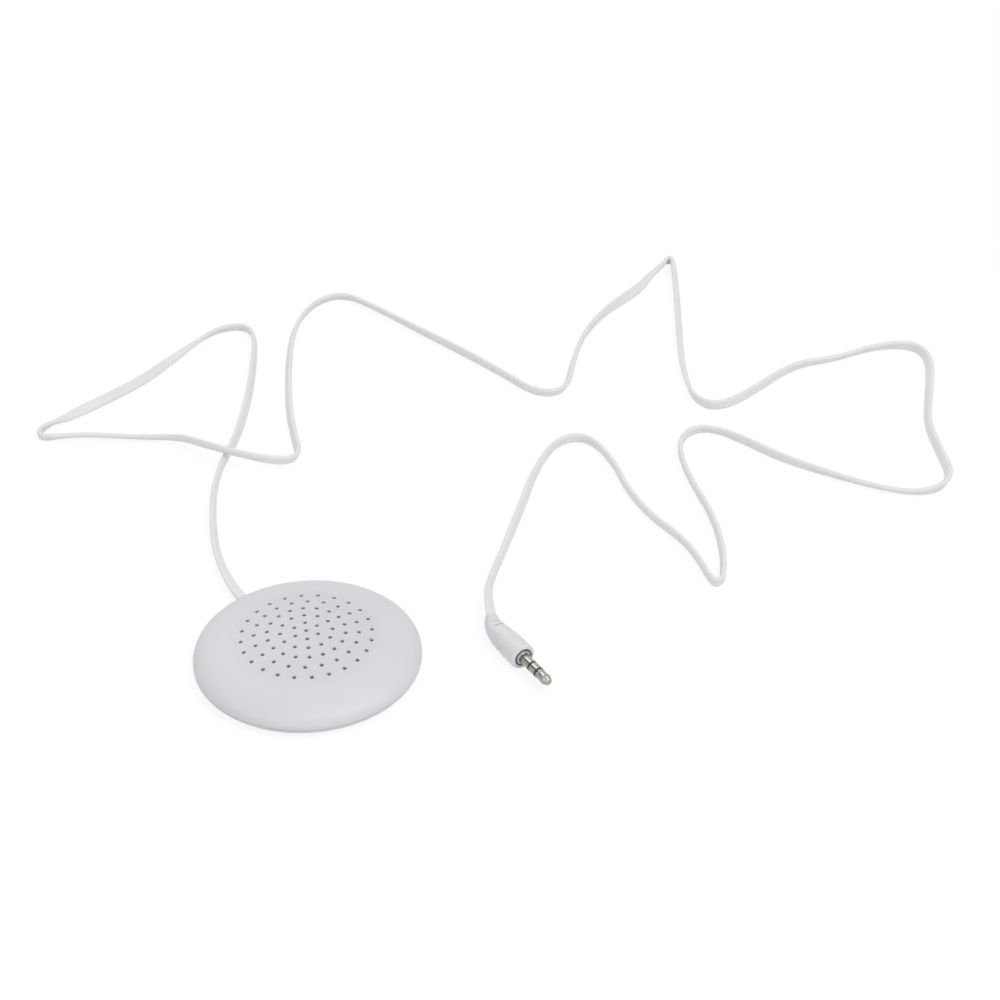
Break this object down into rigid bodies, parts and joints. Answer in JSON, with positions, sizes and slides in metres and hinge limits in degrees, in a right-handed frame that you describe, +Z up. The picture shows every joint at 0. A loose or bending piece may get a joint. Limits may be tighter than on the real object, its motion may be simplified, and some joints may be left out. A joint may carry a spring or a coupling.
{
  "type": "pillow speaker",
  "caption": "Flat round under-pillow loudspeaker with a perforated domed front, a long flat twin flex and a straight 3.5 mm stereo plug.",
  "frame": {"origin": "centre of the housing's flat base, on the surface that the speaker lies on", "axes": "+Z up through the grille; the flex leaves the housing towards -X and +Y; +X is to the right as the speaker is looked at from the side where the plug lies"},
  "size_m": [0.3202, 0.2817, 0.013],
  "materials": {
    "housing": "smooth satin off-white moulding",
    "screw_steel": "bright zinc plate",
    "cloth": "fine woven acoustic cloth, light grey",
    "felt": "thin black felt",
    "foam": "closed-cell foam",
    "frame_steel": "pressed and plated steel",
    "film": "thin moulded polyester film",
    "former": "amber film tube",
    "copper": "wound enamelled copper wire",
    "pole_steel": "turned low-carbon steel, plated",
    "magnet": "nickel-plated magnet disc",
    "board": "phenolic laminate",
    "solder": "bright solder",
    "clamp": "same moulding as the covers",
    "core_red": "thin insulated core",
    "core_white": "thin insulated core",
    "flex": "soft white sheath, faint gloss",
    "overmould": "soft white moulding, satin",
    "plug_metal": "bright nickel plate",
    "plug_black": "black moulded ring",
    "inner_mould": "hard natural moulding"
  },
  "bodies": {
    "root": {"front_cover": "housing", "rear_cover": "housing", "cover_screws": "screw_steel", "driver_screws": "screw_steel", "clamp_screws": "screw_steel", "grille_cloth": "cloth", "vent_cloth": "felt", "driver_gasket": "foam", "driver_frame": "frame_steel", "driver_diaphragm": "film", "voice_coil_former": "former", "voice_coil": "copper", "driver_top_plate": "pole_steel", "driver_yoke": "pole_steel", "driver_magnet": "magnet", "terminal_board": "board", "solder_joints": "solder", "cord_clamp": "clamp", "lead_signal": "core_red", "lead_return": "core_white", "cord": "flex", "plug_body": "overmould", "plug_sleeve": "plug_metal", "plug_ring": "plug_metal", "plug_tip": "plug_metal", "plug_tip_insulator": "plug_black", "plug_ring_insulator": "plug_black", "plug_inner_mould": "inner_mould"}
  },
  "joints": []
}
